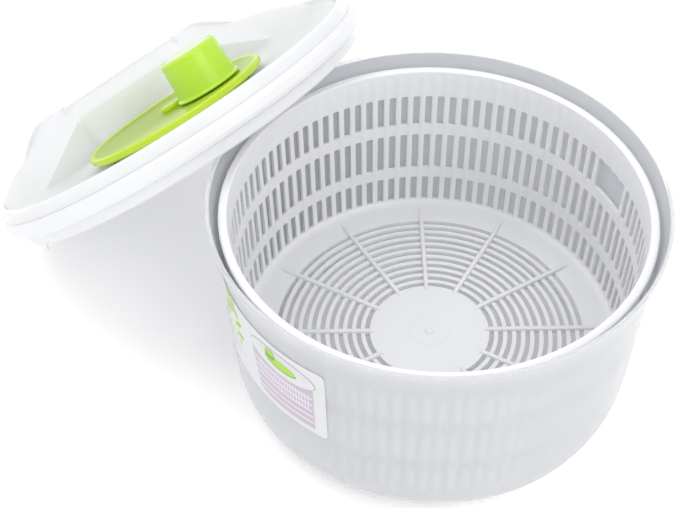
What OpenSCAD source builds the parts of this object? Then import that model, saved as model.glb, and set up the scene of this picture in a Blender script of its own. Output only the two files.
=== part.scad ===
// Hand-cranked salad spinner, millimetres, Z up.
// Origin: centre of the bowl's flat base, on the surface it stands on.
// The basket sits in the bowl on a moulded pivot. The lid is off and leans
// against the back left of the bowl rim, with its low edge on the surface.

/* [Bowl] */
// Height of the bowl from the surface to its rim
bowl_h = 140.3; // [138:0.1:142]
// Outer radius of the bowl rim
bowl_r = 124.2; // [123.6:0.1:124.6]
// Thickness of the bowl wall
bowl_wall = 2.2; // [1.8:0.1:2.4]

/* [Basket] */
// Height of the basket floor's upper face
floor_z = 27; // [26:0.5:28]
// Height of the basket rim
basket_top = 132.2; // [131:0.1:132.4]
// Outer radius of the basket rim flange
basket_r = 118; // [117:0.1:118.3]
// Number of upright bars round the wall
bar_count = 48; // [48:24:96]
// Number of raised ribs on the basket floor
rib_count = 12; // [6:1:12]
// Number of ring slots in the basket floor
ring_slots = 11; // [5:1:11]

/* [Lid] */
// Tilt of the leaning lid from level, degrees
lid_tilt = 39.83; // [39:0.01:41]
// Direction in which the leaning lid slopes down, degrees
lid_az = 141.05; // [139:0.05:143]
// Outer radius of the lid's rim ring
lid_r = 127.4; // [127:0.1:128]
// Height of the grip crest over the bowl rim plane
crest_z = 43; // [40:0.5:45]

/* [Crank] */
// Radius of the crank disc
disc_r = 62.4; // [61.5:0.1:63]
// Distance of the knob from the crank axis
knob_off = 31.7; // [30:0.1:32]
// Radius of the knob at its foot
knob_r = 21.6; // [21:0.1:22]
// Direction of the knob in the lid at rest, degrees
knob_phi = -159; // [-180:1:180]

/* [Gears] */
// Gear module
gear_m = 1.5; // [1.5:0.1:1.5]
// Teeth on the inside of the crank ring gear
ring_n = 60; // [60:1:60]
// Teeth on each idler gear
idler_n = 21; // [21:1:21]
// Teeth on the sun gear
sun_n = 18; // [18:1:18]

/* [Hidden] */
$fn = 96;
e = 0.01;
lid_c = [-148.7, 124.1, 82.9];      // lid origin: centre of its bowl rim plane
idler_d = gear_m*(ring_n - idler_n)/2;
wall3 = [[29.3, 48], [56.2, 83.4], [91.5, 113.4]];   // slot rows, bottom and top
pitch = 360/bar_count;
bar_frac = 0.34;                    // share of the pitch taken by a bar
win_i = [ceil(17.5/pitch), floor(31.3/pitch)];   // upper slots that run together in the long window
hump_phi = -19;                     // direction of the grip on the lid

function lerp(a, b, t) = a + (b - a)*t;
function smooth(t) = let (u = min(1, max(0, t))) u*u*(3 - 2*u);

// Places things that are described in the lid's own frame
module on_lid() translate(lid_c) rotate([0, lid_tilt, lid_az]) children();

// ------------------------------------------------------------------ bowl
// outer side of the bowl, radius and height
function bowl_out() = [[96, 0], [99.5, 0.7], [102.6, 2.4], [105.6, 5.2], [109.4, 10],
  [112.5, 16], [114.6, 22.5], [115.8, 30], [116.4, 40], [117, 56], [117.9, 80],
  [118.4, 98], [118.9, 108], [119.8, 116], [121.2, 124], [122.7, 132],
  [bowl_r - 0.4, bowl_h - 1.6], [bowl_r, bowl_h - 0.7], [bowl_r - 0.5, bowl_h]];
function bowl_in() = let (w = bowl_wall) [[bowl_r - 1.7, bowl_h], [bowl_r - 2.2, bowl_h - 0.7],
  [122.7 - w, 131.6], [121.2 - w, 123.7], [119.8 - w, 115.8], [118.9 - w, 107.9],
  [118.4 - w, 98], [117.9 - w, 80], [117 - w, 56], [116.4 - w, 40.2], [115.8 - w, 30.6],
  [114.6 - w, 23.4], [112.7 - w, 17.4], [109.9 - w, 11.8], [106.6 - w, 7.4],
  [103.4 - w, 4.6], [100.2 - w, 3.1], [96 - w, w + 0.2]];
module bowl() color([0.80, 0.84, 0.86]) {
  rotate_extrude() polygon(concat([[0, 0]], bowl_out(), bowl_in(),
    [[20, bowl_wall + 0.2], [11, 5], [8, 10], [7.6, 18.2], [4, 18.2], [4, 22.4], [3, 23.2], [0, 23.2]]));
}
// printed sticker on the left front of the wall
module bowl_label() color([0.93, 0.93, 0.92])
  intersection() {
    rotate_extrude() polygon([[117.11 + 0.02, 59.2], [117.9 + 0.02, 80], [118.4 + 0.02, 98], [118.9 + 0.02, 108], [119.68 + 0.02, 115],
      [119.68 + 0.42, 115], [118.9 + 0.42, 108], [118.4 + 0.42, 98], [117.9 + 0.42, 80], [117.11 + 0.42, 59.2]]);
    rotate([0, 0, 181]) linear_extrude(height = 140) polygon([[0, 0], [300, 0], [300*cos(29), 300*sin(29)],
      [300*cos(58), 300*sin(58)]]);
  }

// ---------------------------------------------------------------- basket
module wall_cut(z0, z1, a, w) rotate([0, 0, a]) translate([106, -w/2, z0]) cube([16, w, z1 - z0]);
module basket() color([0.97, 0.97, 0.98]) {
  slot_w = 2*114*sin(pitch/2)*(1 - bar_frac);
  difference() {
    rotate_extrude() polygon([[0, floor_z - 2.4], [104, floor_z - 2.4], [108.5, floor_z - 1.4],
      [111.2, floor_z + 0.6], [112.3, floor_z + 4], [114.3, 100], [114.9, basket_top - 2.4],
      [basket_r, basket_top - 2.4], [basket_r, basket_top - 0.6], [basket_r - 0.6, basket_top],
      [113.8, basket_top], [113.2, basket_top - 0.6], [112.5, 100], [110.6, floor_z + 4.4],
      [109.6, floor_z + 1.6], [107, floor_z + 0.2], [104, floor_z], [0, floor_z]]);
    // wall slots
    for (r = [0:2]) for (i = [0:bar_count - 1]) if (r < 2 || i < win_i[0] || i > win_i[1])
      wall_cut(wall3[r][0], wall3[r][1], i*pitch, slot_w);
    // the long window: four slots of the upper row run together
    translate([0, 0, wall3[2][0]]) linear_extrude(height = wall3[2][1] - wall3[2][0])
      polygon([for (q = [[106, -1], [106, 1], [122, 1], [122, -1]]) let (a = (win_i[0] + win_i[1])/2*pitch,
        h = (win_i[1] - win_i[0])/2*pitch + pitch*(1 - bar_frac)/2) [q[0]*cos(a + q[1]*h), q[0]*sin(a + q[1]*h)]]);
    // ring slots of the floor, each broken by the ribs
    difference() {
      for (k = [0:ring_slots - 1]) let (r0 = 35.6 + k*5.34*11/ring_slots)
        translate([0, 0, floor_z - 3]) rotate_extrude() translate([r0, 0]) square([2.8, 4]);
      for (i = [0:rib_count - 1]) rotate([0, 0, i*360/rib_count])
        translate([30, -1.35, floor_z - 4]) cube([75, 2.7, 6]);
    }
  }
  // raised ribs over the floor
  for (i = [0:rib_count - 1]) rotate([0, 0, i*360/rib_count])
    translate([33.4, -1.3, floor_z - 0.6]) cube([68.6, 2.6, 2.2]);
  // bearing cup round the bowl's pivot
  translate([0, 0, 18.6]) difference() {
    cylinder(r = 7.4, h = floor_z - 2.4 - 18.6 + 0.4);
    translate([0, 0, -e]) cylinder(r = 4.05, h = 23.4 - 18.6);
  }
  // small nub in the middle of the floor
  translate([0, 0, floor_z - 0.5]) cylinder(r = 2.5, h = 1.3);
}

// ------------------------------------------------------------- lid shell
// height of the lid's top against the sideways distance from the grip's middle
function top_side(t) = let (a = abs(t))
  a < 62 ? crest_z + 0.8*(1 - a*a/3844) :
  a < 96 ? lerp(crest_z, 27.5, smooth((a - 62)/34)) :
  lerp(27.5, 19, smooth((a - 96)/30));
// and against the distance along the grip's direction
function top_far(d) = d > 40 ? 60 : lerp(60, 19, smooth((40 - d)/75));
module side_cut(o) rotate([90, 0, 90]) linear_extrude(height = 300, center = true)
  polygon(concat([[-140, -30]], [for (t = [-140:4:140]) [t, top_side(t) - o]], [[140, -30]]));
module far_cut(o) rotate([90, 0, 0]) linear_extrude(height = 300, center = true)
  polygon(concat([[-140, -30]], [for (d = [-140:5:140]) [d, top_far(d) - o]], [[140, -30]]));
// hollow in which the crank disc turns
module basin(o) intersection() {
  rotate_extrude() polygon([[0, 5.5 - o], [67 + o, 5.5 - o], [90 + o/2, 7.4 - o], [110 + o/2, 10.2 - o],
    [115.6 + o, 12.2], [120.6 + o, 17], [122.4 + o, 24], [122.8 + o, 80], [0, 80]]);
  rotate([90, 0, 0]) linear_extrude(height = 300, center = true) polygon([[-140, -30], [68.4 + o, -30],
    [68.6 + o, 8 - o], [72 + o, 33.5 - o/2], [84.4 + o, crest_z - 1 - o/2], [86 + o, 60], [86 + o, 90], [-140, 90]]);
  // sloping faces at the two ends of the grip
  for (f = [[30.4, 82.4, 0.87], [-30.4, 82.4, 0.87], [51.3, 95.3, 0.85], [-51.3, 95.3, 0.85]])
    rotate([90, 0, f[0]]) linear_extrude(height = 400, center = true) polygon([[-140, -30], [f[1] + o/2, -30],
      [f[1] + o/2, 7 - o], [f[1] + 60, 7 - 1.3*o + 60*f[2]], [f[1] + 60, 95], [-140, 95]]);
}
module lid_mass(o, z0) difference() {
  intersection() {
    union() {
      translate([0, 0, z0]) cylinder(r = o > 0 ? 117 : 116.2, h = 70);
      translate([0, 0, 11.2 - (o > 0 ? 1 : 0)]) cylinder(r = 125.2 - o, h = 70);
    }
    side_cut(o);
    far_cut(o);
  }
  basin(o);
}
module lid_shell() color([0.86, 0.89, 0.92, 0.6]) on_lid() {
  difference() {
    union() {
      rotate([0, 0, hump_phi]) difference() {
        lid_mass(0, 3.5);
        lid_mass(2, 0);
      }
      // bosses under the idlers and round the middle
      translate([0, 0, 3.5]) cylinder(r = 9.8, h = 2.2);
      for (i = [0:2]) rotate([0, 0, 120*i]) translate([idler_d, 0, 3.6]) cylinder(r = 4, h = 2.4);
    }
    translate([0, 0, 0]) cylinder(r = 6, h = 8);
    for (i = [0:2]) rotate([0, 0, 120*i]) translate([idler_d, 0, 0]) cylinder(r = 2, h = 8);
  }
}

// --------------------------------------------------------------- lid rim
module lid_rim() color([0.88, 0.90, 0.92]) on_lid() {
  rotate_extrude() polygon([[118.4, -6.5], [120.6, -6.5], [120.6, 0.4], [125, 0.4], [126.6, 1.3],
    [lid_r, 3.6], [lid_r, 7.6], [126.8, 9.9], [125.3, 11.2], [116.3, 11.2], [116.3, 9.4],
    [124.4, 9.4], [125.3, 8], [125.3, 3.4], [124.4, 2.4], [118.4, 2.4]]);
  // small locating tab under the skirt
  rotate([0, 0, 84]) translate([118.5, 0, -6.6]) rotate([90, 0, 90]) linear_extrude(height = 2)
    polygon([[-6, 0.4], [6, 0.4], [1.4, -4.6], [-1.4, -4.6]]);
}

// ----------------------------------------------------------------- gears
function inv(a) = tan(a)*180/PI - a;
// half angle of a tooth at radius r
function half_a(r, n, slack) = let (rp = gear_m*n/2, rb = rp*cos(20))
  90/n - slack/(2*rp)*180/PI + inv(20) - (r > rb ? inv(acos(rb/r)) : 0);
function tooth(n, r0, r1, slack, k) = let (c = 360*k/n, s = 4) concat(
  [for (i = [0:s]) let (r = lerp(r0, r1, i/s), a = c - half_a(r, n, slack)) [r*cos(a), r*sin(a)]],
  [for (i = [s:-1:0]) let (r = lerp(r0, r1, i/s), a = c + half_a(r, n, slack)) [r*cos(a), r*sin(a)]]);
module gear_outline(n, r0, r1, slack)
  polygon([for (k = [0:n - 1]) for (p = tooth(n, r0, r1, slack, k)) p]);
module spur(n) gear_outline(n, gear_m*n/2 - 1.5, gear_m*n/2 + 1.2, 0.14);
module idler(i) color([0.93, 0.93, 0.90]) on_lid() rotate([0, 0, 120*i]) translate([idler_d, 0, 6.1])
  difference() {
    linear_extrude(height = 4.9) spur(idler_n);
    translate([0, 0, -1]) cylinder(r = 2.05, h = 8);
    for (a = [0:60:300]) rotate([0, 0, a]) translate([8, 0, -1]) cylinder(r = 2.4, h = 8);
  }
module idler_gear_1() idler(0);
module idler_gear_2() idler(1);
module idler_gear_3() idler(2);
module idler_pins() color([0.75, 0.76, 0.78]) on_lid()
  for (i = [0:2]) rotate([0, 0, 120*i]) translate([idler_d, 0, 3.5]) cylinder(r = 2, h = 7.7);
module crank_ring_gear() color([0.62, 0.80, 0.16]) on_lid() rotate([0, 0, 0]) translate([0, 0, 5.9])
  difference() {
    cylinder(r = 50.6, h = 5.6);
    translate([0, 0, -1]) linear_extrude(height = 8)
      gear_outline(ring_n, gear_m*ring_n/2 - 1.2, gear_m*ring_n/2 + 1.5, -0.14);
  }
module sun_gear() color([0.93, 0.93, 0.90]) on_lid() translate([0, 0, 6.1]) difference() {
  linear_extrude(height = 4.9) spur(sun_n);
  translate([0, 0, -1]) cylinder(r = 3, h = 8);
}

// ----------------------------------------------------------------- drive
module shaft_bush() color([0.72, 0.56, 0.26]) on_lid() difference() {
  union() {
    translate([0, 0, 3.0]) cylinder(r = 6, h = 2.9);
    translate([0, 0, 2.7]) cylinder(r = 8.6, h = 0.8);
  }
  translate([0, 0, 0]) cylinder(r = 3.05, h = 8);
}
module drive_shaft() color([0.74, 0.75, 0.77]) on_lid() difference() {
  translate([0, 0, -5.4]) cylinder(r = 3, h = 19.8);
  translate([0, 0, 8]) cylinder(r = 1.5, h = 8);
  translate([0, 0, -6]) cylinder(r = 1.5, h = 8);
}
module drive_plate() color([0.95, 0.95, 0.95]) on_lid() difference() {
  union() {
    // flat plate, step and the ring that presses on the basket rim
    rotate_extrude() polygon([[0, 0.3], [103, 0.3], [106.4, 0.2], [113.9, -7.4], [117.6, -7.4],
      [117.6, -5.6], [114.8, -5.6], [107.4, 2.1], [103.6, 2.1], [0, 2.1]]);
    translate([0, 0, -5.4]) cylinder(r = 8, h = 7.6);
    for (a = [0:60:300]) rotate([0, 0, a]) translate([7, -0.9, -3.4]) cube([24, 1.8, 4.2]);
  }
  translate([0, 0, -7]) cylinder(r = 3, h = 12);
  for (a = [30:60:330]) rotate([0, 0, a]) translate([66, 0, -2]) cylinder(r = 15, h = 8);
}
module drive_washer() color([0.78, 0.79, 0.80]) on_lid() translate([0, 0, -6.2]) difference() {
  cylinder(r = 6.5, h = 0.8);
  translate([0, 0, -1]) cylinder(r = 1.6, h = 3);
}
module screw(z, up) translate([0, 0, z]) mirror([0, 0, up ? 0 : 1]) difference() {
  union() {
    cylinder(r = 3.4, h = 1.5);
    translate([0, 0, -7.4]) cylinder(r = 1.5, h = 7.6);
  }
  for (a = [0, 90]) rotate([0, 0, a]) translate([-1.9, -0.4, 0.8]) cube([3.8, 0.8, 2]);
}
module drive_screw() color([0.70, 0.71, 0.73]) on_lid() screw(-6.2, false);

// ----------------------------------------------------------------- crank
module crank_disc() color([0.66, 0.82, 0.20, 0.85]) on_lid() rotate([0, 0, knob_phi]) difference() {
  union() {
    translate([0, 0, 11.5]) cylinder(r = disc_r - 1, h = 2.8);
    rotate_extrude() polygon([[disc_r - 2.6, 10.2], [disc_r - 0.6, 10.2], [disc_r, 10.8], [disc_r, 13.6],
      [disc_r - 0.4, 14.4], [disc_r - 1.4, 14.8], [disc_r - 3.4, 14.6], [disc_r - 4.2, 14]]);
    translate([knob_off, 0, 13]) cylinder(r = 7, h = 1.9);
  }
  translate([0, 0, 8]) cylinder(r = 3.05, h = 10);
  translate([knob_off, 0, 8]) cylinder(r = 3.2, h = 10);
}
module crank_washer() color([0.78, 0.79, 0.80]) on_lid() translate([0, 0, 14.4]) difference() {
  cylinder(r = 5.6, h = 0.5);
  translate([0, 0, -1]) cylinder(r = 1.6, h = 3);
}
module crank_screw() color([0.70, 0.71, 0.73]) on_lid() screw(14.9, true);
module crank_cap() color([0.72, 0.86, 0.24]) on_lid() rotate_extrude()
  polygon([[6.6, 14.3], [8, 14.3], [8, 16.5], [7.2, 17.3], [0, 17.6], [0, 16.9], [6.2, 16.7], [6.6, 16.3]]);

module at_knob() on_lid() rotate([0, 0, knob_phi]) translate([knob_off, 0, 0]) children();
module knob_axle() color([0.74, 0.75, 0.77]) at_knob() difference() {
  union() {
    translate([0, 0, 11.5]) cylinder(r = 3.2, h = 3.4);
    translate([0, 0, 14.9]) cylinder(r = 4.2, h = 20.1);
  }
  translate([0, 0, 26]) cylinder(r = 1.5, h = 12);
}
module knob() color([0.68, 0.86, 0.16]) at_knob() rotate_extrude()
  polygon([[4.25, 15.3], [knob_r - 0.5, 15.3], [knob_r, 15.8], [knob_r, 16.4], [knob_r - 0.6, 17], [knob_r - 1.8, 17.4],
    [knob_r - 2.1, 28], [knob_r - 2.6, 39.6], [knob_r - 3.1, 40.8], [knob_r - 4, 41.2], [knob_r - 4.6, 40.9], [knob_r - 4.6, 38.4],
    [knob_r - 4.2, 38], [knob_r - 4.1, 28], [knob_r - 4, 17.5], [7, 17.5], [6.6, 34.6], [4.25, 34.6]]);
module knob_washer() color([0.78, 0.79, 0.80]) at_knob() translate([0, 0, 35]) difference() {
  cylinder(r = 6.2, h = 0.7);
  translate([0, 0, -1]) cylinder(r = 1.6, h = 3);
}
module knob_screw() color([0.70, 0.71, 0.73]) at_knob() screw(35.7, true);
module knob_cap() color([0.56, 0.72, 0.12, 0.9]) at_knob() rotate_extrude()
  polygon([[0, 39.2], [knob_r - 4.6, 38.8], [knob_r - 4.6, 40.7], [knob_r - 6.2, 41.3], [0, 41.8]]);

bowl();
bowl_label();
basket();
lid_shell();
lid_rim();
shaft_bush();
idler_pins();
idler_gear_1();
idler_gear_2();
idler_gear_3();
sun_gear();
drive_shaft();
drive_plate();
drive_washer();
drive_screw();
crank_washer();
crank_screw();
crank_disc();
crank_ring_gear();
crank_cap();
knob_axle();
knob();
knob_cap();
knob_washer();
knob_screw();
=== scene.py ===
"""Looks for the salad spinner: frosted bowl with a basket in it, and the cranked lid leaning on the bowl."""

import math

import bmesh
import bpy
import numpy as np
from mathutils import Matrix, Vector


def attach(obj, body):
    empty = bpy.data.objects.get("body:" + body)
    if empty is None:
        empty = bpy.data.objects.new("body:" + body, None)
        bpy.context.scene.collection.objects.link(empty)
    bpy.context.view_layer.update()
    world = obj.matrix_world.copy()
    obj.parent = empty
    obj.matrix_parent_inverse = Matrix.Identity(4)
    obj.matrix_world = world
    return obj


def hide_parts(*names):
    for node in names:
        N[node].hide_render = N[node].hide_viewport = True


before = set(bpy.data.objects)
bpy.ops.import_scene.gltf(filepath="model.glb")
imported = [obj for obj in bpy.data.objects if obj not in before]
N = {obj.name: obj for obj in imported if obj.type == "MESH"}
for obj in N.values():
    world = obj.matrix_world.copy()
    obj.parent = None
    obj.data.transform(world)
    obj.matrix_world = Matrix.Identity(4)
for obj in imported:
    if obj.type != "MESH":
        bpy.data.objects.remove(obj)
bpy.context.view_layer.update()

MM = 0.001
LID_C, LID_TILT, LID_AZ = (-148.7, 124.1, 82.9), 39.83, 141.05
HUMP = -19.0          # direction of the grip on the lid, degrees
KNOB_PHI, KNOB_OFF, KNOB_R, DISC_R = -159.0, 31.7, 21.6, 62.4
LIDM = (
    Matrix.Translation(Vector(LID_C))
    @ Matrix.Rotation(math.radians(LID_AZ), 4, "Z")
    @ Matrix.Rotation(math.radians(LID_TILT), 4, "Y")
)
KNOBM = LIDM @ Matrix.Rotation(math.radians(KNOB_PHI), 4, "Z") @ Matrix.Translation((KNOB_OFF, 0, 0))


# ------------------------------------------------------------------ materials
def plastic(name, col, rough=0.35, trans=0.0, ior=1.45, thru=0.0, thru_col=None, vary=0.03,
            scale=180.0, bump=0.02, spec=0.5, metal=0.0, coat=0.0, clear=0.0):
    """A moulded surface: slight colour and gloss variation, a fine grain, and light passing through."""
    m = bpy.data.materials.new(name)
    m.use_nodes = True
    nt = m.node_tree
    nt.nodes.clear()
    out = nt.nodes.new("ShaderNodeOutputMaterial")
    p = nt.nodes.new("ShaderNodeBsdfPrincipled")
    tc = nt.nodes.new("ShaderNodeTexCoord")
    n1 = nt.nodes.new("ShaderNodeTexNoise")
    n1.inputs["Scale"].default_value = scale
    n1.inputs["Detail"].default_value = 3.0
    nt.links.new(tc.outputs["Object"], n1.inputs["Vector"])
    n2 = nt.nodes.new("ShaderNodeTexNoise")
    n2.inputs["Scale"].default_value = 14.0
    nt.links.new(tc.outputs["Object"], n2.inputs["Vector"])
    mix = nt.nodes.new("ShaderNodeMix")
    mix.data_type = "RGBA"
    lo = tuple(max(0.0, c * (1 - vary)) for c in col)
    hi = tuple(min(1.0, c * (1 + vary)) for c in col)
    mix.inputs[6].default_value = (*lo, 1)
    mix.inputs[7].default_value = (*hi, 1)
    nt.links.new(n2.outputs["Fac"], mix.inputs[0])
    nt.links.new(mix.outputs[2], p.inputs["Base Color"])
    mr = nt.nodes.new("ShaderNodeMapRange")
    mr.inputs["To Min"].default_value = max(0.02, rough - 0.05)
    mr.inputs["To Max"].default_value = min(1.0, rough + 0.05)
    nt.links.new(n1.outputs["Fac"], mr.inputs["Value"])
    nt.links.new(mr.outputs["Result"], p.inputs["Roughness"])
    bp = nt.nodes.new("ShaderNodeBump")
    bp.inputs["Strength"].default_value = bump
    bp.inputs["Distance"].default_value = 0.0004
    nt.links.new(n1.outputs["Fac"], bp.inputs["Height"])
    nt.links.new(bp.outputs["Normal"], p.inputs["Normal"])
    p.inputs["Metallic"].default_value = metal
    p.inputs["IOR"].default_value = ior
    p.inputs["Specular IOR Level"].default_value = spec
    p.inputs["Transmission Weight"].default_value = trans
    p.inputs["Coat Weight"].default_value = coat
    p.inputs["Coat Roughness"].default_value = 0.12
    last = p.outputs[0]
    if thru > 0:
        t = nt.nodes.new("ShaderNodeBsdfTranslucent")
        t.inputs["Color"].default_value = (*(thru_col or col), 1)
        ms = nt.nodes.new("ShaderNodeMixShader")
        ms.inputs["Fac"].default_value = thru
        nt.links.new(last, ms.inputs[1])
        nt.links.new(t.outputs[0], ms.inputs[2])
        last = ms.outputs[0]
    if clear > 0:
        t = nt.nodes.new("ShaderNodeBsdfTransparent")
        ms = nt.nodes.new("ShaderNodeMixShader")
        ms.inputs["Fac"].default_value = clear
        nt.links.new(last, ms.inputs[1])
        nt.links.new(t.outputs[0], ms.inputs[2])
        last = ms.outputs[0]
    nt.links.new(last, out.inputs["Surface"])
    m.diffuse_color = (*col, 1)
    return m


M_BOWL = plastic("frosted_bowl", (0.975, 0.978, 0.985), rough=0.15, trans=0.54, ior=1.12, thru=0.10,
                 thru_col=(0.93, 0.94, 0.97), vary=0.01, bump=0.03)
# inner face of the bowl wall: the same frosted plastic as the outside, coloured much darker as painted shade for the
# dim inner collar
M_BOWL_IN_PAINTED_SHADE = plastic("frosted_bowl_inside_painted_shade", (0.50, 0.515, 0.545), rough=0.4, trans=0.5, ior=1.14, thru=0.15,
                    thru_col=(0.58, 0.595, 0.625), vary=0.01, bump=0.03)
M_BASKET = plastic("basket_white", (0.94, 0.945, 0.96), rough=0.32, thru=0.16, thru_col=(0.97, 0.97, 0.99), vary=0.01)
M_LID = plastic("lid_clear", (0.97, 0.974, 0.985), rough=0.16, trans=0.18, ior=1.38, thru=0.24,
                thru_col=(0.97, 0.98, 1.0), vary=0.01, bump=0.01)
M_RIM = plastic("lid_frosted", (0.895, 0.9, 0.91), rough=0.3, thru=0.2,
                thru_col=(0.96, 0.97, 0.99), vary=0.01)
M_GEAR = plastic("gear_white", (0.86, 0.86, 0.83), rough=0.4)
M_PLATE = plastic("plate_white", (0.89, 0.895, 0.905), rough=0.4, thru=0.1)
M_BUSH = plastic("bush_bronze", (0.62, 0.43, 0.16), rough=0.35, metal=0.9, scale=420)
M_STEEL = plastic("steel", (0.62, 0.63, 0.65), rough=0.28, metal=1.0, scale=600)
M_CRANK = plastic("crank_green", (0.51, 0.68, 0.055), rough=0.2, thru=0.28, thru_col=(0.66, 0.86, 0.09), spec=0.35, coat=0.08)
M_EDGE = plastic("crank_edge", (0.70, 0.90, 0.06), rough=0.2, thru=0.3, thru_col=(0.85, 0.98, 0.12), coat=0.3)
M_KNOB = plastic("knob_green", (0.53, 0.83, 0.045), rough=0.26, thru=0.14, coat=0.2)
M_CAP = plastic("cap_green", (0.50, 0.68, 0.13), rough=0.2, thru=0.15, coat=0.4)
M_PAPER = plastic("label_paper", (0.66, 0.665, 0.675), rough=0.5, bump=0.01)
M_INK_G = plastic("label_green", (0.36, 0.62, 0.04), rough=0.45)
M_INK_D = plastic("label_dark_green", (0.17, 0.36, 0.03), rough=0.45)
M_INK_M = plastic("label_mauve", (0.50, 0.44, 0.52), rough=0.45)
M_INK_L = plastic("label_light", (0.70, 0.66, 0.73), rough=0.45)
M_INK_K = plastic("label_line", (0.30, 0.29, 0.33), rough=0.45)


# -------------------------------------------------------------------- meshes
def make(name, verts, faces, mats, body, nodes, angle=38, idx=None, matrix=None):
    """A piece from millimetre vertices, shaded smooth except over sharp edges."""
    V = np.asarray(verts, float).reshape(-1, 3)
    if matrix is not None:
        A = np.array(matrix)
        V = V @ A[:3, :3].T + A[:3, 3]
    me = bpy.data.meshes.new(name)
    me.from_pydata((V * MM).tolist(), [], faces)
    for m in mats:
        me.materials.append(m)
    if idx is not None:
        me.polygons.foreach_set("material_index", np.asarray(idx, np.int32))
    me.polygons.foreach_set("use_smooth", [True] * len(me.polygons))
    me.update()
    bm = bmesh.new()
    bm.from_mesh(me)
    bmesh.ops.recalc_face_normals(bm, faces=bm.faces)
    bm.to_mesh(me)
    bm.free()
    me.set_sharp_from_angle(angle=math.radians(angle))
    o = bpy.data.objects.new(name, me)
    bpy.context.scene.collection.objects.link(o)
    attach(o, body)
    if nodes:
        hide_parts(*nodes)
    return o


def spline(pts, n=4):
    """A curve through all the points, n steps between each two."""
    P = [np.array(p, float) for p in pts]
    P = [2 * P[0] - P[1]] + P + [2 * P[-1] - P[-2]]
    out = []
    for i in range(1, len(P) - 2):
        a, b, c, d = P[i - 1 : i + 3]
        la, lb, lc = (max(1e-6, np.linalg.norm(q) ** 0.5) for q in (b - a, c - b, d - c))
        m1 = (c - b) / lb * lb if False else ((b - a) / la - (c - a) / (la + lb) + (c - b) / lb) * lb
        m2 = ((c - b) / lb - (d - b) / (lb + lc) + (d - c) / lc) * lb
        for k in range(n):
            t = k / n
            h = (2 * t**3 - 3 * t**2 + 1, t**3 - 2 * t**2 + t, -2 * t**3 + 3 * t**2, t**3 - t**2)
            out.append(tuple(h[0] * b + h[1] * m1 + h[2] * c + h[3] * m2))
    out.append(tuple(P[-2]))
    return out


def fillet(pts, rad=0.5, n=3, closed=True):
    """Rounds the corners of a profile."""
    out, L = [], len(pts)
    for i, p in enumerate(pts):
        if not closed and i in (0, L - 1) or p[0] < 1e-6:
            out.append(tuple(p))
            continue
        a, b, c = (np.array(pts[(i + k) % L], float) for k in (-1, 0, 1))
        u, v = a - b, c - b
        lu, lv = np.linalg.norm(u), np.linalg.norm(v)
        cosang = float(np.clip(np.dot(u, v) / (lu * lv), -1, 1))
        ang = math.acos(cosang)
        if ang > math.radians(166):
            out.append(tuple(p))
            continue
        d = min(rad / math.tan(ang / 2), 0.45 * lu, 0.45 * lv)
        s, e = b + u / lu * d, b + v / lv * d
        for k in range(n + 1):
            t = k / n
            out.append(tuple((1 - t) ** 2 * s + 2 * t * (1 - t) * b + t * t * e))
    return out


def lathe_mesh(prof, segs=192, closed=True, phase=0.0):
    """Verts and faces of a profile turned about the Z axis."""
    V, F, rings = [], [], []
    for r, z in prof:
        if r < 1e-6:
            rings.append([len(V)])
            V.append((0, 0, z))
        else:
            rings.append(list(range(len(V), len(V) + segs)))
            for k in range(segs):
                a = phase + 2 * math.pi * k / segs
                V.append((r * math.cos(a), r * math.sin(a), z))
    pairs = [(i, i + 1) for i in range(len(rings) - 1)] + ([(len(rings) - 1, 0)] if closed else [])
    for i, j in pairs:
        A, B = rings[i], rings[j]
        if len(A) == 1 and len(B) == 1:
            continue
        for k in range(segs):
            q = (k + 1) % segs
            if len(A) == 1:
                F.append((A[0], B[q], B[k]))
            elif len(B) == 1:
                F.append((A[k], A[q], B[0]))
            else:
                F.append((A[k], A[q], B[q], B[k]))
    return V, F


def join(*parts):
    V, F = [], []
    for v, f in parts:
        n = len(V)
        V += list(v)
        F += [tuple(i + n for i in q) for q in f]
    return V, F


# ---------------------------------------------------------------------- bowl
BOWL_OUT = [(96, 0), (99.5, 0.7), (102.6, 2.4), (105.6, 5.2), (109.4, 10), (112.5, 16), (114.6, 22.5),
            (115.8, 30), (116.4, 40), (117, 56), (117.9, 80), (118.4, 98), (118.9, 108), (119.8, 116),
            (121.2, 124), (122.7, 132), (123.8, 138.7)]
W = 2.2
BOWL_IN = [(122.7 - W, 131.6), (121.2 - W, 123.7), (119.8 - W, 115.8), (118.9 - W, 107.9), (118.4 - W, 98),
           (117.9 - W, 80), (117 - W, 56), (116.4 - W, 40.2), (115.8 - W, 30.6), (114.6 - W, 23.4),
           (112.7 - W, 17.4), (109.9 - W, 11.8), (106.6 - W, 7.4), (103.4 - W, 4.6), (100.2 - W, 3.1), (96 - W, W + 0.2)]
prof = [(0, 0), (40, 0), (80, 0), (92, 0)] + spline(BOWL_OUT, 4)
prof += [(124.05, 139.3), (124.2, 139.75), (124.1, 140.1), (123.7, 140.3), (122.9, 140.3), (122.5, 140.2), (122.2, 139.9), (121.95, 139.3)]
prof += spline(BOWL_IN, 4)
prof += [(60, W + 0.2)] + fillet([(30, W + 0.2), (20, W + 0.2), (11, 5), (8, 10), (7.6, 18.2), (4, 18.2), (4, 22.4), (3, 23.2), (0, 23.2)], 1.2, 4, closed=False)
def wall_r(z):
    P = spline(BOWL_OUT, 6)
    return float(np.interp(z, [p[1] for p in P], [p[0] for p in P]))


v, f = lathe_mesh(prof, 256, closed=False)
bowl = make("bowl_moulding", v, f, [M_BOWL, M_BOWL_IN_PAINTED_SHADE], "bowl", ["bowl"])
# faces on the inner side of the wall get the darker copy of the bowl plastic, which is painted shade
for p in bowl.data.polygons:
    c = p.center / MM
    rad = math.hypot(c.x, c.y)
    if 14 < c.z < 139.5 and 60 < rad < wall_r(c.z) - 1.2:
        p.material_index = 1


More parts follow.
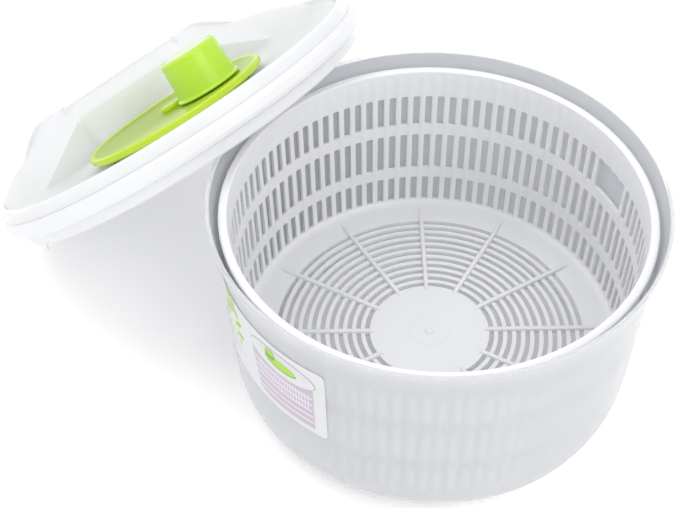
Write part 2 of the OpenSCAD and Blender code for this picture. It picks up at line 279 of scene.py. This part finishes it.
# --------------------------------------------------------------------- label
class Sheet:
    """Printed areas laid on the bowl wall: u runs along the wall from 181 degrees, w is the height above 61 mm."""

    def __init__(self):
        self.V, self.F, self.I = [], [], []

    def point(self, u, w, off):
        a = math.radians(181) + u / 118.6
        z = 61 + w
        r = wall_r(z) + off
        return (r * math.cos(a), r * math.sin(a), z)

    def strip(self, u0, u1, bot, top, off, mat, du=1.0, nw=10):
        n = max(2, int(abs(u1 - u0) / du))
        base = len(self.V)
        for i in range(n + 1):
            u = u0 + (u1 - u0) * i / n
            b, t = bot(u), top(u)
            for j in range(nw + 1):
                self.V.append(self.point(u, b + (t - b) * j / nw, off))
        for i in range(n):
            for j in range(nw):
                a = base + i * (nw + 1) + j
                self.F.append((a, a + nw + 1, a + nw + 2, a + 1))
                self.I.append(mat)

    def blob(self, cu, cw, ru, rw, off, mat, turn=0.0, power=1.0, n=40):
        """An ellipse, or with power > 1 a leaf shape, turned by an angle."""
        rings, base = 4, len(self.V)
        c, s = math.cos(turn), math.sin(turn)
        self.V.append(self.point(cu, cw, off))
        for k in range(1, rings + 1):
            for i in range(n):
                a = 2 * math.pi * i / n
                x = ru * math.cos(a) * k / rings
                y = rw * math.copysign(abs(math.sin(a)) ** power, math.sin(a)) * k / rings
                self.V.append(self.point(cu + x * c - y * s, cw + x * s + y * c, off))
        for i in range(n):
            j = (i + 1) % n
            self.F.append((base, base + 1 + i, base + 1 + j))
            self.I.append(mat)
            for k in range(rings - 1):
                a, b = base + 1 + k * n, base + 1 + (k + 1) * n
                self.F.append((a + i, b + i, b + j, a + j))
                self.I.append(mat)


LW, LB, LT = 120.0, -1.8, 54.0


def corner(u, rad=3.0):
    d = min(u, LW - u)
    return 0.0 if d >= rad else rad - math.sqrt(max(0.0, rad * rad - (rad - d) ** 2))


sh = Sheet()
sh.strip(0, 3, lambda u: LB + corner(u), lambda u: LT - corner(u), 0.22, 0, du=0.3, nw=16)
sh.strip(3, LW - 3, lambda u: LB, lambda u: LT, 0.22, 0, nw=16)
sh.strip(LW - 3, LW, lambda u: LB + corner(u), lambda u: LT - corner(u), 0.22, 0, du=0.3, nw=16)
# a plain drawing of a bowl with a green handle
left = lambda w: 66.6 + (36 - w) * 0.15
sh.strip(67, 112.4, lambda u: max(2.3 + 5.5 * ((90 - u) / 23) ** 4 * (1 if u < 90 else 0), 36 - max(0.0, u - 66.6) / 0.15 if u < 71.5 else -99), lambda u: 36, 0.26, 3, du=0.35)
for k in range(5):
    w0 = 6.5 + 5.2 * k
    sh.strip(68.2 + (4 - k) * 0.6, 111.5, lambda u, w0=w0: w0 + 0.0009 * (u - 90) ** 2, lambda u, w0=w0: w0 + 1.5 + 0.0009 * (u - 90) ** 2, 0.29, 4, nw=2)
for k in range(19):
    u0 = 72.5 + 2.0 * k
    sh.strip(u0, u0 + 0.8, lambda u: 18, lambda u: 30.5, 0.31, 4, du=0.4, nw=6)
sh.blob(90, 40.2, 24.2, 8.7, 0.33, 5, n=64)
sh.blob(90, 40.2, 23.8, 8.35, 0.36, 0, n=64)
sh.blob(90, 39.6, 18.5, 6.0, 0.39, 4, n=64)
sh.blob(90, 39.9, 17.6, 5.6, 0.42, 0, n=64)
sh.blob(90.5, 39.7, 11.6, 3.7, 0.45, 2, n=48)
sh.blob(90.5, 40.3, 11.2, 3.3, 0.48, 1, n=48)
sh.blob(83.4, 43.0, 3.9, 3.4, 0.51, 2)
sh.blob(83.4, 45.0, 3.7, 1.9, 0.54, 1)
# green leaves and dots in place of the printed words
for cu, cw, ru, rw, tn in ((36, 46, 6.5, 2.6, 0.5), (45, 42, 7, 2.8, -0.35), (37, 36.5, 6.5, 2.5, 0.15), (50, 34, 5.5, 2.2, 0.7),
                           (45, 49, 4.5, 1.9, -0.2), (31, 29, 5, 2.0, -0.5), (52, 26.5, 4.5, 1.8, 0.2)):
    sh.blob(cu, cw, ru, rw, 0.27, 1, turn=tn, power=1.6)
    sh.strip(cu - ru * 0.8 * math.cos(tn), cu + ru * 0.8 * math.cos(tn), lambda u, cu=cu, cw=cw, tn=tn: cw + math.tan(tn) * (u - cu) - 0.18,
             lambda u, cu=cu, cw=cw, tn=tn: cw + math.tan(tn) * (u - cu) + 0.18, 0.31, 2, nw=1)
for k in range(6):
    sh.blob(24 + 5.4 * k, 20.5, 1.5, 1.5, 0.27, 1, n=20)
for k in range(3):
    sh.strip(16, 56 - 7 * k, lambda u, k=k: 13 - 4.2 * k, lambda u, k=k: 14.1 - 4.2 * k, 0.27, 4, nw=1)
label = make("bowl_sticker", sh.V, sh.F, [M_PAPER, M_INK_G, M_INK_D, M_INK_M, M_INK_L, M_INK_K], "bowl", ["bowl_label"],
             idx=sh.I)


# -------------------------------------------------------------------- basket
def basket():
    pitch, nb, half = 3.75, 96, 0.275
    zo = [24.6, 25.6, 27.6, 31, 60, 100, 129.8]
    ro = [104, 108.5, 111.2, 112.3, 113.14, 114.3, 114.9]
    zi = [27.2, 28.6, 31.4, 100, 131.6]
    ri = [107, 109.6, 110.6, 112.5, 113.2]
    P_o = spline([(104, 24.6), (108.5, 25.6), (111.2, 27.6), (112.3, 31), (113.1, 60), (114.3, 100), (114.9, 129.8)], 8)
    P_i = spline([(107, 27.2), (109.6, 28.6), (110.6, 31.4), (111.4, 60), (112.5, 100), (113.2, 131.6)], 8)
    R_o = lambda z: float(np.interp(z, [p[1] for p in P_o], [p[0] for p in P_o]))
    R_i = lambda z: float(np.interp(z, [p[1] for p in P_i], [p[0] for p in P_i]))
    rows = [(29.3, 48.0), (56.2, 83.4), (91.5, 113.4)]
    cells = [(28.7, 52.1), (52.1, 87.4), (87.4, 116.4)]
    V, F, key = [], [], {}

    def vert(s, z, side):
        """s is the place across the wall in pitches; side 0 is the outer face, 1 the inner."""
        s = s % nb
        k = (round(s * 1000) % (nb * 1000), round(z * 1000), side)
        if k not in key:
            a = math.radians(s * pitch)
            if side == 0:
                r = R_o(z)
            else:
                d = abs((s + 0.5) % 1.0)
                d = min(d, 1 - d)          # 0 in the middle of a bar
                fade = min(1.0, max(0.0, (z - 29) / 2.0), max(0.0, (130.2 - z) / 3.0))
                r = R_i(z) - 0.55 * fade * max(0.0, 1 - (d / 0.26) ** 2)
            key[k] = len(V)
            V.append((r * math.cos(a), r * math.sin(a), z))
        return key[k]

    x3 = half - 0.12
    cols = [-0.5, -0.42, -x3, 0.0, x3, 0.42]     # columns of a plain band, one pitch wide

    def outline(z0, z1, w0, w1):
        """Rounded slot outline, counter-clockwise seen from outside, with partner points on the cell's edge."""
        cs, cz = 0.12, 0.9
        pts = []
        for (sx, sz, zc, wc) in ((1, 1, z1, w1), (-1, 1, z1, w1), (-1, -1, z0, w0), (1, -1, z0, w0)):
            a4 = [0, 30, 60, 90]
            arc = [(sx * (half - cs + cs * math.cos(math.radians(a))), zc - sz * cz + sz * cz * math.sin(math.radians(a))) for a in a4]
            par = [(sx * 0.42, arc[0][1]), (sx * 0.42, wc), (sx * 0.42, wc), (sx * x3, wc)]
            if sx * sz < 0:
                arc, par = arc[::-1], par[::-1]
            pts += list(zip(arc, par))
            if (sx, sz) == (1, 1):
                pts.append(((0.0, z1), (0.0, w1)))
            if (sx, sz) == (-1, -1):
                pts.append(((0.0, z0), (0.0, w0)))
        return pts

    def face(pts, side):
        q = []
        for p in pts:
            i = vert(p[0], p[1], side)
            if i not in q:
                q.append(i)
        if len(q) > 2:
            F.append(tuple(q))

    for i in range(nb):
        for (z0, z1), (w0, w1) in zip(rows, cells):
            upper = z1 > 100
            open_cell = upper and 5 <= i <= 8
            o = outline(z0, z1, w0, w1)
            if not open_cell:
                n = len(o)
                for k in range(n):
                    (a, pa), (b, pb) = o[k], o[(k + 1) % n]
                    for side in (0, 1):
                        face([(i + a[0], a[1]), (i + pa[0], pa[1]), (i + pb[0], pb[1]), (i + b[0], b[1])], side)
                    F.append((vert(i + a[0], a[1], 0), vert(i + b[0], b[1], 0), vert(i + b[0], b[1], 1), vert(i + a[0], a[1], 1)))
            else:
                # the long window: only the bands above and below, and its two ends
                for side in (0, 1):
                    for lo, hi in ((w0, z0), (z1, w1)):
                        cc = [-0.42, -x3, 0.0, x3, 0.42]
                        for p, q in zip(cc, cc[1:]):
                            if i == 5 and p == -0.42:
                                continue
                            if i == 8 and q == 0.42:
                                continue
                            face([(i + p, lo), (i + q, lo), (i + q, hi), (i + p, hi)], side)
                if i == 5:
                    e = [t for t in o if t[0][0] < -1e-6 or abs(t[0][0]) < 1e-6]
                    e = [t for t in o if t[0][0] <= -x3 + 1e-6]
                if i == 8:
                    e = [t for t in o if t[0][0] >= x3 - 1e-6]
                    e.sort(key=lambda t: t[0][1])
                if i in (5, 8):
                    e = sorted(e, key=lambda t: (t[0][1], abs(t[0][0]) if t[0][1] > (z0 + z1) / 2 else abs(t[0][0])))
                    e = sorted(e, key=lambda t: math.atan2(t[0][1] - (z0 + z1) / 2, (abs(t[0][0]) - 0.1) * 30))
                    for (a, pa), (b, pb) in zip(e, e[1:]):
                        for side in (0, 1):
                            face([(i + a[0], a[1]), (i + pa[0], pa[1]), (i + pb[0], pb[1]), (i + b[0], b[1])], side)
                        F.append((vert(i + a[0], a[1], 0), vert(i + b[0], b[1], 0), vert(i + b[0], b[1], 1), vert(i + a[0], a[1], 1)))
                # top and bottom walls of the window
                cc = [-0.5, -0.42, -x3, 0.0, x3, 0.42, 0.5]
                if i == 5:
                    cc = [-x3, 0.0, x3, 0.42, 0.5]
                if i == 8:
                    cc = [-0.5, -0.42, -x3, 0.0, x3]
                for p, q in zip(cc, cc[1:]):
                    for z in (z0, z1):
                        F.append((vert(i + p, z, 0), vert(i + q, z, 0), vert(i + q, z, 1), vert(i + p, z, 1)))
            # the strip in the middle of the bar between this cell and the next
            zs = [w0, z0 + 0.9, z1 - 0.9, w1]
            gone = upper and 5 <= i <= 7
            for side in (0, 1):
                for p, q in ((0.42, 0.5), (0.5, 0.58)):
                    if gone:
                        face([(i + p, w0), (i + q, w0), (i + q, z0), (i + p, z0)], side)
                        face([(i + p, z1), (i + q, z1), (i + q, w1), (i + p, w1)], side)
                    else:
                        for za, zb in zip(zs, zs[1:]):
                            face([(i + p, za), (i + q, za), (i + q, zb), (i + p, zb)], side)
    # plain bands under and over the rows, the flange and the floor, all on the same columns
    fine = [-0.5, -0.42, -x3, 0.0, x3, 0.42]
    ring_s = [i + c for i in range(nb) for c in fine]

    def band(rings):
        """rings: lists of vertex numbers, one for each place in ring_s."""
        for A, B in zip(rings, rings[1:]):
            for k in range(len(A)):
                q = (k + 1) % len(A)
                F.append((A[k], A[q], B[q], B[k]))

    def ring(r, z):
        k0 = len(V)
        for s in ring_s:
            a = math.radians(s * pitch)
            V.append((r * math.cos(a), r * math.sin(a), z))
        return list(range(k0, k0 + len(ring_s)))

    top_i = [[vert(s, z, 1) for s in ring_s] for z in (116.4, 120.0, 124.0, 127.2, 128.4, 129.4, 130.2)]
    band(top_i)
    top_o = [[vert(s, z, 0) for s in ring_s] for z in (116.4, 123.0, 129.0)]
    band(top_o)
    flange = [top_i[-1]] + [ring(r, z) for r, z in ((113.12, 131.2), (113.3, 131.8), (113.7, 132.12), (114.3, 132.2), (116.6, 132.2),
              (117.3, 132.1), (117.8, 131.7), (118, 131.2), (118, 130.4), (117.85, 130.0), (117.4, 129.8), (115.7, 129.8), (115.1, 129.6))] + [top_o[-1]]
    band(flange)
    bot_i = [vert(s, 28.7, 1) for s in ring_s]
    bot_o = [vert(s, 28.7, 0) for s in ring_s]

    # floor: 12 sectors, each slot ring broken by the ribs
    wall_a = [s * pitch % 360 for s in ring_s]
    per = len(ring_s) // 12
    base = ring_s.index(0.0)
    order = [(base + k) % len(ring_s) for k in range(len(ring_s))]     # starts at the rib on +X

    def floor_ring(r, z):
        """Points that follow the rib sides where the slots are, and the wall columns further out."""
        al = math.degrees(math.asin(1.35 / max(r, 33)))
        t = min(1.0, max(0.0, (r - 93) / 8.5))
        t = t * t * (3 - 2 * t)
        k0, ids = len(V), [0] * len(ring_s)
        for n_, k in enumerate(order):
            sec, j = divmod(n_, per)
            if j == 0:
                a0 = 0.0
            else:
                a0 = al + (30 - 2 * al) * (j - 1) / (per - 2)
            a1 = wall_a[k] - 30 * sec
            if a1 < -1e-6:
                a1 += 360
            a = math.radians(30 * sec + a0 * (1 - t) + a1 * t)
            ids[k] = len(V)
            V.append((r * math.cos(a), r * math.sin(a), z))
        return ids

    radii, is_slot = [14.0, 24.0, 33.0], [False, False]
    for k in range(11):
        r0 = 35.6 + k * 5.34
        radii += [r0, r0 + 2.8]
        is_slot += [False, True]
    radii += [93.6, 97, 101, 104]
    is_slot += [False, False, False, False]
    tops, bots = [floor_ring(r, 27.0) for r in radii], [floor_ring(r, 24.6) for r in radii]
    for m in range(len(radii) - 1):
        for n_ in range(len(order)):
            k, q = order[n_], order[(n_ + 1) % len(order)]
            j = n_ % per
            if is_slot[m] and 1 <= j <= per - 2:
                # side walls of the slot along the rings
                F.append((tops[m][k], tops[m][q], bots[m][q], bots[m][k]))
                F.append((tops[m + 1][k], tops[m + 1][q], bots[m + 1][q], bots[m + 1][k]))
                continue
            F.append((tops[m][k], tops[m][q], tops[m + 1][q], tops[m + 1][k]))
            F.append((bots[m][k], bots[m][q], bots[m + 1][q], bots[m + 1][k]))
        if is_slot[m]:
            for sec in range(12):
                for j in (1, per - 1):
                    k = order[sec * per + j]
                    F.append((tops[m][k], tops[m + 1][k], bots[m + 1][k], bots[m][k]))
    k0 = len(V)
    V.append((0, 0, 27.0))
    V.append((0, 0, 24.6))
    for n_ in range(len(order)):
        k, q = order[n_], order[(n_ + 1) % len(order)]
        F.append((k0, tops[0][k], tops[0][q]))
        F.append((k0 + 1, bots[0][k], bots[0][q]))
    band([tops[-1]] + [ring(r, z) for r, z in ((105.6, 27.03), (107, 27.2), (108.3, 27.7), (109.2, 28.25))] + [bot_i])
    band([bots[-1]] + [ring(r, z) for r, z in ((106.3, 24.95), (108.5, 25.6), (110.1, 26.55), (111.2, 27.6))] + [bot_o])
    wall_faces = len(F)

    # ribs: rounded bars with tapered ends
    for i in range(12):
        a = math.radians(30 * i)
        ca, sa = math.cos(a), math.sin(a)
        secs = [(32.2, 27.02, 0.5), (34.0, 28.0, 1.0), (36.5, 28.6, 1.3), (60, 28.6, 1.3), (94, 28.6, 1.3), (98.5, 28.2, 1.05), (103.4, 27.15, 0.25)]
        rows_ = []
        for r, zt, hw in secs:
            zs = [(26.4, -hw), (zt - 0.45, -hw), (zt - 0.1, -hw * 0.72), (zt, -hw * 0.3), (zt, hw * 0.3), (zt - 0.1, hw * 0.72), (zt - 0.45, hw), (26.4, hw)]
            ids = []
            for z, y in zs:
                ids.append(len(V))
                V.append((r * ca - y * sa, r * sa + y * ca, max(z, 26.4)))
            rows_.append(ids)
        for A, B in zip(rows_, rows_[1:]):
            for k in range(8):
                q = (k + 1) % 8
                F.append((A[k], A[q], B[q], B[k]))
        F.append(tuple(rows_[0]))
        F.append(tuple(rows_[-1][::-1]))
    # the wall's slots stand a little round from the floor's ribs
    for i, (x, y, z) in enumerate(V):
        a = math.radians(-1.44) * min(1.0, max(0.0, (math.hypot(x, y) - 104) / 5))
        V[i] = (x * math.cos(a) - y * math.sin(a), x * math.sin(a) + y * math.cos(a), z)
    nub = lathe_mesh([(0, 26.4), (2.7, 26.4), (2.7, 27.2), (2.45, 27.6), (1.8, 27.78), (0, 27.8)], 40, closed=False)
    # raised circle line round the middle of the floor
    line = lathe_mesh([(11.2, 26.8), (11.2, 27.1), (11.6, 27.18), (12.0, 27.1), (12.0, 26.8)], 96)
    cup = lathe_mesh(fillet([(4.05, 18.6), (7.4, 18.6), (7.4, 25), (0, 25), (0, 23.4), (4.05, 23.4)], 0.4), 64)
    return join((V, F), nub, line, cup)


v, f = basket()
bas = make("basket_moulding", v, f, [M_BASKET], "basket", ["basket"], angle=50)
bev = bas.modifiers.new("edges", "BEVEL")
bev.width = 0.00025
bev.segments = 2
bev.limit_method = "ANGLE"
bev.angle_limit = math.radians(55)
bev.use_clamp_overlap = True
bev.harden_normals = False


# ----------------------------------------------------------------- lid shell
def smin(a, b, k):
    h = np.clip(0.5 + 0.5 * (b - a) / k, 0, 1)
    return b * (1 - h) + a * h - k * h * (1 - h)


def smax(a, b, k):
    return -smin(-a, -b, k)


def step(t):
    u = np.clip(t, 0, 1)
    return u * u * (3 - 2 * u)


def lid_height(x, y):
    """Height of the lid's upper face; x runs towards the grip, y sideways."""
    a, r = np.abs(y), np.hypot(x, y)
    side = np.where(a < 62, 43 + 0.8 * (1 - a * a / 3844), np.where(a < 96, 43 - 15.5 * step((a - 62) / 34), 27.5 - 8.5 * step((a - 96) / 30)))
    far = 60 - 41 * step((40 - x) / 75)
    top = smin(side, far, 4.0)
    kr, kz = [0, 66.5, 68, 90, 110, 115.4, 120.4, 122.4, 122.8, 140], [5.5, 5.5, 5.6, 7.4, 10.2, 12.1, 17, 24, 60, 300]
    base = sum(np.interp(r + d, kr, kz) for d in (-0.8, -0.4, 0, 0.4, 0.8)) / 5
    wx = sum(np.interp(x + d, [-200, 66, 68.2, 72, 84.4, 86, 90], [-20, -8, 5.5, 33.5, 42, 60, 140]) for d in (-0.5, -0.25, 0, 0.25, 0.5)) / 5
    d1 = 0.8625 * x + 0.5060 * a - 82.4
    d2 = 0.6252 * x + 0.7804 * a - 95.3
    zc = 34 - 21 * np.clip((a - 42) / 44, 0, 1.2)          # height of the well's upper edge at the grip's ends
    w1 = np.where(d1 < 0, zc + d1 * 7.0, zc + d1 * 0.42)
    w2 = np.where(d2 < 0, 9 + d2 * 2.0, 9 + d2 * 0.8)
    wp = smax(w1, w2, 3.0)
    m = step((a - 37) / 10)
    basin = smax(base, np.maximum(wx, -30) * (1 - m) + np.maximum(wp, -30) * m, 2.0)
    return smin(top, basin, 1.5)


def lid_shell():
    nt, ns, r1, fil = 600, 250, 122.9, 2.3
    dense = np.linspace(6.02, r1, 2400)
    V = np.zeros((nt, ns, 3))
    for i in range(nt):
        t = 2 * math.pi * i / nt
        z = lid_height(dense * math.cos(t), dense * math.sin(t))
        zt = z[-1]
        arc = np.linspace(0, math.pi / 2, 14)[1:]
        R = np.concatenate([dense, r1 + fil * np.sin(arc)])
        Z = np.concatenate([z, zt - fil * (1 - np.cos(arc))])
        n_down = 24
        down = np.linspace(Z[-1], 11.25, n_down + 1)[1:]
        R = np.concatenate([R, np.full(n_down, r1 + fil)])
        Z = np.concatenate([Z, down])
        s = np.concatenate([[0], np.cumsum(np.hypot(np.diff(R), np.diff(Z)))])
        s1 = s[len(dense) - 1]
        # even steps along the face up to the edge, then over the edge and down
        want = np.concatenate([np.linspace(0, s1, ns - 24, endpoint=False), np.linspace(s1, s1 + fil * math.pi / 2, 10, endpoint=False), np.linspace(s1 + fil * math.pi / 2, s[-1], 14)])
        rr, zz = np.interp(want, s, R), np.interp(want, s, Z)
        V[i, :, 0], V[i, :, 1], V[i, :, 2] = rr * math.cos(t), rr * math.sin(t), zz
    F = []
    for i in range(nt):
        j = (i + 1) % nt
        for k in range(ns - 1):
            F.append((i * ns + k, i * ns + k + 1, j * ns + k + 1, j * ns + k))
    return V.reshape(-1, 3), F


v, f = lid_shell()
A = np.array(LIDM @ Matrix.Rotation(math.radians(HUMP), 4, "Z"))
v = v @ A[:3, :3].T + A[:3, 3]
shell = make("lid_moulding", v, f, [M_LID], "lid", ["lid_shell"], angle=70)
# outward is up in the lid's frame
up = Vector(np.array(LIDM)[:3, 2])
mid = [p for p in shell.data.polygons if (p.center - Vector(LID_C) * MM).length < 0.03]
if sum((p.normal.dot(up) for p in mid)) < 0:
    shell.data.flip_normals()
so = shell.modifiers.new("wall", "SOLIDIFY")
so.thickness = 0.0019
so.offset = -1.0
so.use_rim = True

boss = []
for i in range(3):
    a = math.radians(120 * i)
    bv, bf = lathe_mesh(fillet([(2.02, 3.7), (4, 3.7), (4, 5.95), (2.02, 5.95)], 0.3), 40)
    bv = [(x + 29.25 * math.cos(a), y + 29.25 * math.sin(a), z) for x, y, z in bv]
    boss.append((bv, bf))
v, f = join(*boss)
make("lid_idler_bosses", v, f, [M_LID], "lid", [], matrix=LIDM)

rim = fillet([(118.4, -6.5), (120.6, -6.5), (120.6, 0.4), (125, 0.4), (126.6, 1.3), (127.4, 3.6), (127.4, 7.6), (126.8, 9.9), (125.3, 11.2),
              (116.3, 11.2), (116.3, 9.4), (124.4, 9.4), (125.3, 8), (125.3, 3.4), (124.4, 2.4), (118.4, 2.4)], 0.8, 4)
rv, rf = lathe_mesh(rim, 288)


def tab():
    """Small rounded locating tab under the skirt."""
    pts = fillet([(-6, -6.2), (-1.4, -11.2), (1.4, -11.2), (6, -6.2)], 1.0, 5, closed=False)
    a = math.radians(84)
    V, F = [], []
    for r in (118.5, 118.75, 120.25, 120.5):
        k = 0.94 if r in (118.5, 120.5) else 1.0
        for y, z in pts:
            zz = -6.2 + (z + 6.2) * k
            V.append((r * math.cos(a) - y * k * math.sin(a), r * math.sin(a) + y * k * math.cos(a), zz))
    n = len(pts)
    for q in range(3):
        for i in range(n - 1):
            F.append((q * n + i, q * n + i + 1, (q + 1) * n + i + 1, (q + 1) * n + i))
        F.append((q * n + n - 1, q * n, (q + 1) * n, (q + 1) * n + n - 1))
    F.append(tuple(range(n)))
    F.append(tuple(range(3 * n, 4 * n))[::-1])
    return V, F


v, f = join((rv, rf), tab())
make("lid_rim_ring", v, f, [M_RIM], "lid", ["lid_rim"], matrix=LIDM)

# --------------------------------------------------------------------- crank
D = DISC_R
plate = fillet([(3.05, 11.5), (D - 3.0, 11.5), (D - 3.0, 14.3), (3.05, 14.3)], 0.4, 3)
pv, pf = lathe_mesh(plate, 192)
bead = fillet([(D - 2.6, 10.2), (D - 0.6, 10.2), (D, 10.8), (D, 13.6), (D - 0.4, 14.4), (D - 1.4, 14.8), (D - 3.0, 14.7), (D - 4.4, 14.3), (D - 4.4, 13.2), (D - 2.6, 12.6)], 0.8, 4)
ev, ef = lathe_mesh(bead, 256)
sv, sf = lathe_mesh(fillet([(3.2, 13), (7, 13), (7, 14.9), (3.2, 14.9)], 0.3), 64)
sv = [(x + KNOB_OFF, y, z) for x, y, z in sv]
v, f = join((pv, pf), (sv, sf), (ev, ef))
idx = [0] * (len(pf) + len(sf)) + [1] * len(ef)
CRANKM = LIDM @ Matrix.Rotation(math.radians(KNOB_PHI), 4, "Z")
make("crank_disc_moulding", v, f, [M_CRANK, M_EDGE], "crank", ["crank_disc"], idx=idx, matrix=CRANKM)
cap = fillet([(6.6, 14.3), (8, 14.3), (8, 16.5), (7.2, 17.3), (0, 17.6), (0, 16.9), (6.2, 16.7), (6.6, 16.3)], 0.4, 4)
v, f = lathe_mesh(cap, 96)
make("crank_hub_cap", v, f, [M_EDGE], "crank", ["crank_cap"], matrix=LIDM)

K = KNOB_R
kp = fillet([(4.25, 15.3), (K - 0.5, 15.3), (K, 15.8), (K, 16.4), (K - 0.6, 17), (K - 1.8, 17.4), (K - 2.1, 28), (K - 2.6, 39.6), (K - 3.1, 40.8),
             (K - 4, 41.2), (K - 4.5, 40.9), (K - 4.5, 38.4), (K - 4.2, 38), (K - 4.1, 28), (K - 4, 17.5), (7, 17.5), (6.6, 34.6), (4.25, 34.6)], 0.7, 4)
v, f = lathe_mesh(kp, 192)
make("knob_body", v, f, [M_KNOB], "knob", ["knob"], matrix=KNOBM)
kc = fillet([(0, 39.2), (K - 4.6, 38.8), (K - 4.6, 40.7), (K - 6.2, 41.3), (0, 41.8)], 0.6, 4, closed=False)
v, f = lathe_mesh(kc, 160)
make("knob_top", v, f, [M_CAP], "knob", ["knob_cap"], matrix=KNOBM)

# ----------------------------------------------------- CAD nodes that are shown
for name, m in (("shaft_bush", M_BUSH), ("idler_pins", M_STEEL), ("idler_gear_1", M_GEAR), ("idler_gear_2", M_GEAR),
                ("idler_gear_3", M_GEAR), ("sun_gear", M_GEAR), ("drive_shaft", M_STEEL), ("drive_plate", M_PLATE),
                ("drive_washer", M_STEEL), ("drive_screw", M_STEEL), ("crank_washer", M_STEEL), ("crank_screw", M_STEEL),
                ("crank_ring_gear", M_EDGE), ("knob_axle", M_STEEL), ("knob_washer", M_STEEL), ("knob_screw", M_STEEL)):
    N[name].data.materials.clear()
    N[name].data.materials.append(m)

# --------------------------------------------------------------------- stage
fl = bpy.data.meshes.new("ground")
fl.from_pydata([(-6, -6, 0), (6, -6, 0), (6, 6, 0), (-6, 6, 0)], [], [(0, 1, 2, 3)])
ground = bpy.data.objects.new("ground", fl)
bpy.context.scene.collection.objects.link(ground)
gm = plastic("ground_white", (0.93, 0.93, 0.935), rough=0.9, vary=0.002, bump=0.0, spec=0.0)
gp = next(n for n in gm.node_tree.nodes if n.type == "BSDF_PRINCIPLED")
gp.inputs["Emission Color"].default_value = (1, 1, 1, 1)
gp.inputs["Emission Strength"].default_value = 0.16
fl.materials.append(gm)

world = bpy.data.worlds.new("studio")
bpy.context.scene.world = world
world.use_nodes = True
bg = world.node_tree.nodes["Background"]
bg.inputs[0].default_value = (1.0, 1.0, 1.0, 1)
bg.inputs[1].default_value = 0.99


def lamp(name, loc, target, size, power, col=(1, 1, 1)):
    d = bpy.data.lights.new(name, "AREA")
    d.shape, d.size, d.energy, d.color = "DISK", size, power, col
    o = bpy.data.objects.new(name, d)
    bpy.context.scene.collection.objects.link(o)
    o.location = loc
    o.rotation_euler = (Vector(target) - Vector(loc)).to_track_quat("-Z", "Y").to_euler()
    return o


lamp("key", (-0.9, 0.5, 1.7), (0, 0, 0.05), 1.1, 8)
lamp("fill", (0.9, -0.9, 1.4), (0, 0, 0.05), 1.4, 9)

cam_d = bpy.data.cameras.new("camera")
cam_d.sensor_fit = "HORIZONTAL"
cam_d.sensor_width = 36.0
cam_d.lens = 68.58
cam_d.clip_start, cam_d.clip_end = 0.02, 50
cam = bpy.data.objects.new("camera", cam_d)
bpy.context.scene.collection.objects.link(cam)
e, ro = math.radians(46.769), math.radians(0.8346)
right, upv, back = Vector((1, 0, 0)), Vector((0, math.sin(e), math.cos(e))), Vector((0, -math.cos(e), math.sin(e)))
r2 = math.cos(ro) * right - math.sin(ro) * upv
u2 = math.sin(ro) * right + math.cos(ro) * upv
m = Matrix((r2, u2, back)).transposed().to_4x4()
m.translation = Vector((-0.052979, -0.494521, 0.620705))
cam.matrix_world = m
bpy.context.scene.camera = cam
bpy.context.scene.view_settings.view_transform = "Standard"
bpy.context.scene.view_settings.look = "None"
